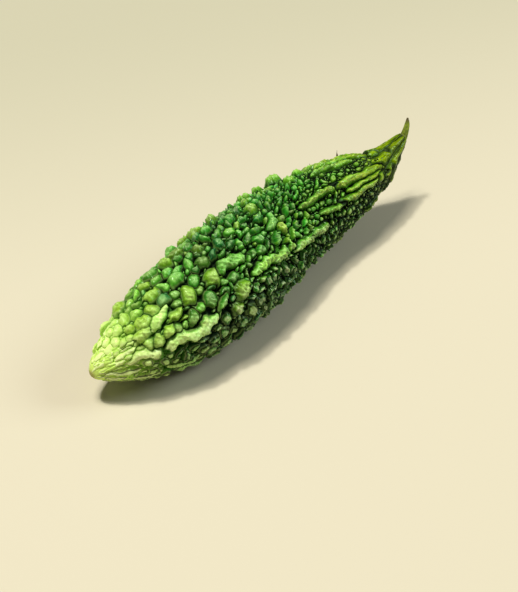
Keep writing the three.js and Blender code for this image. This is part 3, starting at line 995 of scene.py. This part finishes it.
def skin_material():
    nodes = Nodes("gourd_skin")
    length = nodes.attribute("along")
    tint = nodes.attribute("tint")
    rib = nodes.attribute("rib")
    fold = nodes.attribute("fold")
    under = nodes.attribute("under")
    # the painted shade in the creases is wider on the fruit's lower side
    lower_crease_shade = nodes.maths("MULTIPLY", under, 0.2)
    open_skin = nodes.maths("SUBTRACT", nodes.attribute("open"), lower_crease_shade)
    mottle = nodes.noise(0.09, 3)
    grain = nodes.noise(0.8, 3, 0.6)

    body, emerald = wart_colour(nodes, length, tint, mottle)
    body = nodes.darken(body, wart_value(nodes, length, tint, rib, grain))
    body = nodes.mix(paleness(nodes, rib, fold), body, nodes.ramp(length, RIB_TONES))
    body = nodes.mix(nodes.maths("MULTIPLY", nodes.attribute("ripe"), 0.9), body, RIPE_TONE)
    # a wart has a pale painted highlight at its crown and painted shade down its sides, with a thin
    # painted highlight rim beside the crease
    crown_highlight = crown_highlight_share(nodes, open_skin, under, emerald, grain)
    body = nodes.mix(crown_highlight, body, nodes.ramp(length, CROWN_HIGHLIGHT_TONES))
    side_shade = nodes.ramp(open_skin, [(0.35, SIDE_SHADE), (0.92, (1, 1, 1, 1))])
    shaded = nodes.mix(1.0, body, side_shade, "MULTIPLY")
    body = nodes.mix(nodes.span(length, 0.07, 0.22), body, shaded)
    # painted shade: on the fruit's lower side the warts are darker down their sides; the streaks and
    # the painted shade between folds darken it too
    down_side_shade = nodes.span(open_skin, 0.88, 0.48)
    lower_side_shade = nodes.maths("SUBTRACT", 1.0, nodes.maths("MULTIPLY", under, down_side_shade))
    streaks = streaks_and_fold_shade(nodes, length, rib, fold)
    body = nodes.darken(body, nodes.maths("MULTIPLY", lower_side_shade, streaks))
    rim_highlight = nodes.mix(0.34, body, nodes.ramp(length, RIM_HIGHLIGHT_TONES))
    body = nodes.mix(nodes.span(open_skin, 0.36, 0.58), rim_highlight, body)

    # the creases take near-black painted shade past the blossom tip, and pale skin at the tip
    gap_skin_and_shade = nodes.ramp(length, GAP_SKIN_AND_SHADE_TONES)
    colour = nodes.mix(nodes.span(open_skin, 0.2, 0.5), gap_skin_and_shade, body)
    # low skin between the warts takes the same near-black painted shade, past the blossom tip
    low = nodes.span(nodes.attribute("rise"), 0.2, 0.75, 0.95, 0)
    colour = nodes.mix(low, colour, gap_skin_and_shade)
    cloudy = nodes.span(mottle, 0.3, 0.7, 0.8, 1.0)
    cloudy = nodes.maths("MAXIMUM", cloudy, nodes.span(length, 0.15, 0.06))
    colour = nodes.darken(colour, cloudy)
    wavering = nodes.maths("MULTIPLY", nodes.maths("SUBTRACT", grain, 0.5), 0.01)
    scar = nodes.span(nodes.maths("ADD", length, wavering), 0.007, 0.001, 0, 0.7)
    colour = nodes.mix(scar, colour, SCAR)
    nodes.join(colour, nodes.shader.inputs["Base Color"])
    # glossy warts, dull creases
    dull = nodes.span(open_skin, 0.5, 0.15, 0, 0.45)
    rough = nodes.maths("ADD", nodes.span(grain, 0.3, 0.7, 0.17, 0.36), dull)
    nodes.join(rough, nodes.shader.inputs["Roughness"])
    nodes.shader.inputs["Specular IOR Level"].default_value = 0.28
    nodes.shader.inputs["Specular Tint"].default_value = (0.7, 1.0, 0.55, 1)
    nodes.bump(grain, 0.12, 0.6)
    return nodes.material


def hair_material():
    nodes = Nodes("dried_hair")
    grain = nodes.noise(0.4, 3)
    colour = nodes.ramp(grain, [(0.35, HAIR), (0.65, STALK_DRY)])
    nodes.join(colour, nodes.shader.inputs["Base Color"])
    nodes.shader.inputs["Roughness"].default_value = 0.7
    nodes.bump(grain, 0.15, 0.5)
    return nodes.material


def stalk_material():
    nodes = Nodes("gourd_stalk")
    grain = nodes.noise(0.7, 3)
    green = nodes.mix(nodes.span(grain, 0.35, 0.65), STALK_LOW, STALK_HIGH)
    length = nodes.attribute("along")
    dry = nodes.maths("ADD", nodes.span(length, 0.72, 0.95), nodes.span(length, 0.07, 0.0))
    nodes.join(nodes.mix(dry, green, STALK_DRY), nodes.shader.inputs["Base Color"])
    nodes.shader.inputs["Roughness"].default_value = 0.55
    nodes.bump(grain, 0.2, 0.6)
    return nodes.material


# The stalk: a curve from the neck's end, as points beyond it, and radii along it

STALK_BENDS = [(0, 0, 0), (1.9, -0.1, 2.6), (3.6, 0.4, 5.6), (4.5, 1.1, 8.2)]
STALK_RADII = [(0.0, 2.0), (0.2, 1.9), (0.4, 1.65), (0.6, 1.35), (0.8, 1.0), (1.0, 0.35)]
STALK_LEAD = 0.8  # the stalk runs on straight from the neck this far
STALK_RIDGES = 0.07  # as a share of its radius
STALK_ROWS = 60
STALK_COLUMNS = 36


def curve_through(points, count):
    """Points evenly spaced in share along a smooth curve through a few."""
    points = np.array(points, dtype=float)
    padded = np.vstack([2 * points[0] - points[1], points, 2 * points[-1] - points[-2]])
    made = []
    for share in np.linspace(0, len(points) - 1, count):
        i = min(int(share), len(points) - 2)
        u = share - i
        a, b, c, d = padded[i:i + 4]
        bend = 2 * a - 5 * b + 4 * c - d
        twist = 3 * b - a - 3 * c + d
        made.append(0.5 * (2 * b + (c - a) * u + bend * u**2 + twist * u**3))
    return np.array(made)


def tube(path, radius_at, ridges, columns):
    """A closed tube along a path, with lengthwise ridges, and how far along each point is."""
    forward = unit(np.gradient(path, axis=0))
    side = unit(np.cross((0, 1, 0.2), forward))
    over = np.cross(forward, side)
    share = np.linspace(0, 1, len(path))
    rings = []
    for i, t in enumerate(share):
        way = np.linspace(0, 2 * math.pi, columns, endpoint=False)
        radius = radius_at(t) * (1 + ridges * np.cos(5 * way + 2.5 * t))
        across = side[i] * (radius * np.cos(way))[:, None]
        up = over[i] * (radius * np.sin(way))[:, None]
        rings.append(path[i] + across + up)
    verts = np.vstack(rings + [path[:1], path[-1:]])
    faces = []
    for i in range(len(path) - 1):
        for j in range(columns):
            k = (j + 1) % columns
            row, following = i * columns, (i + 1) * columns
            faces.append((row + j, row + k, following + k, following + j))
    first, last = len(path) * columns, len(path) * columns + 1
    for j in range(columns):
        k = (j + 1) % columns
        faces.append((first, k, j))
        faces.append((last, (len(path) - 1) * columns + j, (len(path) - 1) * columns + k))
    return verts, faces, np.append(np.repeat(share, columns), [0, 1])


def stalk():
    root = centre(np.array([NECK_END]))[0]
    forward = unit(centre(np.array([NECK_END + 0.4]))[0] - centre(np.array([NECK_END - 0.5]))[0])
    bends = [root + np.array(bend) for bend in STALK_BENDS]
    path = curve_through([bends[0], root + forward * STALK_LEAD, *bends[1:]], STALK_ROWS)
    verts, faces, share = tube(path, lambda t: at(STALK_RADII, t), STALK_RIDGES, STALK_COLUMNS)
    made = new_object("gourd_stalk", verts, faces, {"along": share}, stalk_material())
    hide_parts("stalk")


# Dried hairs on the top rib: share of the length, degrees round the fruit, length, and how
# far they lean along the fruit
HAIRS = [(0.757, 49, 2.6, -0.7), (0.824, 53, 3.6, 0.1)]
HAIR_RADIUS = 0.45
HAIR_SUNK = 0.3
HAIR_ROWS = 10
HAIR_COLUMNS = 8


def hair_radius(t):
    """It is uneven, and thins out towards its end."""
    return HAIR_RADIUS * (1 + 0.5 * math.cos(4 * t) - 0.4 * t)


def hairs():
    material = hair_material()
    for number, (share, degrees, length, lean) in enumerate(HAIRS):
        s, angle = np.array([share * LENGTH]), np.array([math.radians(degrees)])
        point, normal, lengthways, _ = (part[0] for part in axes_at(s, angle))
        root = point + normal * (at(RELIEF, share) - HAIR_SUNK)
        way = unit(normal + lean * lengthways)
        tip = root + way * length + lengthways * 0.3
        path = curve_through([root, root + way * length * 0.6, tip], HAIR_ROWS)
        verts, faces, _ = tube(path, hair_radius, 0.1, HAIR_COLUMNS)
        made = new_object(f"hair_{number + 1}", verts, faces, {}, material)
        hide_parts("fruit")


# The camera: where it looks, from how far, and which way, found by fitting the fruit's outline

LOOK_AT = Vector((-2.35, 0.0, -3.52)) * MM
AZIMUTH = -48
ELEVATION = 42
LENS = 85
DISTANCE = 624 * MM


def camera():
    azimuth, elevation = math.radians(AZIMUTH), math.radians(ELEVATION)
    back = Vector((
        math.sin(azimuth) * math.cos(elevation),
        -math.cos(azimuth) * math.cos(elevation),
        math.sin(elevation),
    ))
    data = bpy.data.cameras.new("camera")
    data.lens = LENS
    data.clip_start, data.clip_end = 0.01, 20
    made = bpy.data.objects.new("camera", data)
    made.location = LOOK_AT + back * DISTANCE
    made.rotation_mode = "QUATERNION"
    made.rotation_quaternion = (-back).to_track_quat("-Z", "Y")
    bpy.context.scene.collection.objects.link(made)
    bpy.context.scene.camera = made


def lamp(name, place, size, watts, colour):
    data = bpy.data.lights.new(name, "AREA")
    data.shape = "DISK"
    data.size = size
    data.energy = watts
    data.color = colour
    made = bpy.data.objects.new(name, data)
    made.location = place
    made.rotation_mode = "QUATERNION"
    made.rotation_quaternion = (-Vector(place)).to_track_quat("-Z", "Y")
    bpy.context.scene.collection.objects.link(made)


def table_material():
    """Pale and plain, with painted shade that makes it a little darker on the far side."""
    nodes = Nodes("table_top")
    coordinates = nodes.tree.nodes.new("ShaderNodeTexCoord")
    dot = nodes.tree.nodes.new("ShaderNodeVectorMath")
    dot.operation = "DOT_PRODUCT"
    nodes.join(coordinates.outputs["Object"], dot.inputs[0])
    dot.inputs[1].default_value = (0.48, 0.88, 0)
    far = nodes.span(dot.outputs["Value"], -0.03, 0.26)
    nodes.join(nodes.mix(far, TABLE, TABLE_FAR_SHADE), nodes.shader.inputs["Base Color"])
    nodes.shader.inputs["Roughness"].default_value = 0.8
    nodes.bump(nodes.noise(0.5, 3), 0.05, 0.3)
    return nodes.material


def studio():
    mesh = bpy.data.meshes.new("table_top")
    reach = 3.0
    corners = [(-reach, -reach, 0), (reach, -reach, 0), (reach, reach, 0), (-reach, reach, 0)]
    mesh.from_pydata(corners, [], [(0, 1, 2, 3)])
    table = bpy.data.objects.new("table_top", mesh)
    mesh.materials.append(table_material())
    bpy.context.scene.collection.objects.link(table)
    world = bpy.data.worlds.new("world")
    world.use_nodes = True
    background = world.node_tree.nodes["Background"]
    background.inputs["Color"].default_value = (1.0, 0.98, 0.93, 1)
    background.inputs["Strength"].default_value = 0.13
    bpy.context.scene.world = world
    lamp("key", (-0.3, 0.55, 3.4), 1.0, 86, (1.0, 0.98, 0.94))
    lamp("side", (2.2, -1.6, 2.0), 1.5, 50, (0.82, 0.94, 1.0))
    lamp("glint", (-0.45, 0.8, 3.3), 0.25, 50, (1.0, 1.0, 1.0))
    bpy.context.scene.view_settings.view_transform = "Standard"


skin_pieces(skin_material())
stalk()
hairs()
camera()
studio()
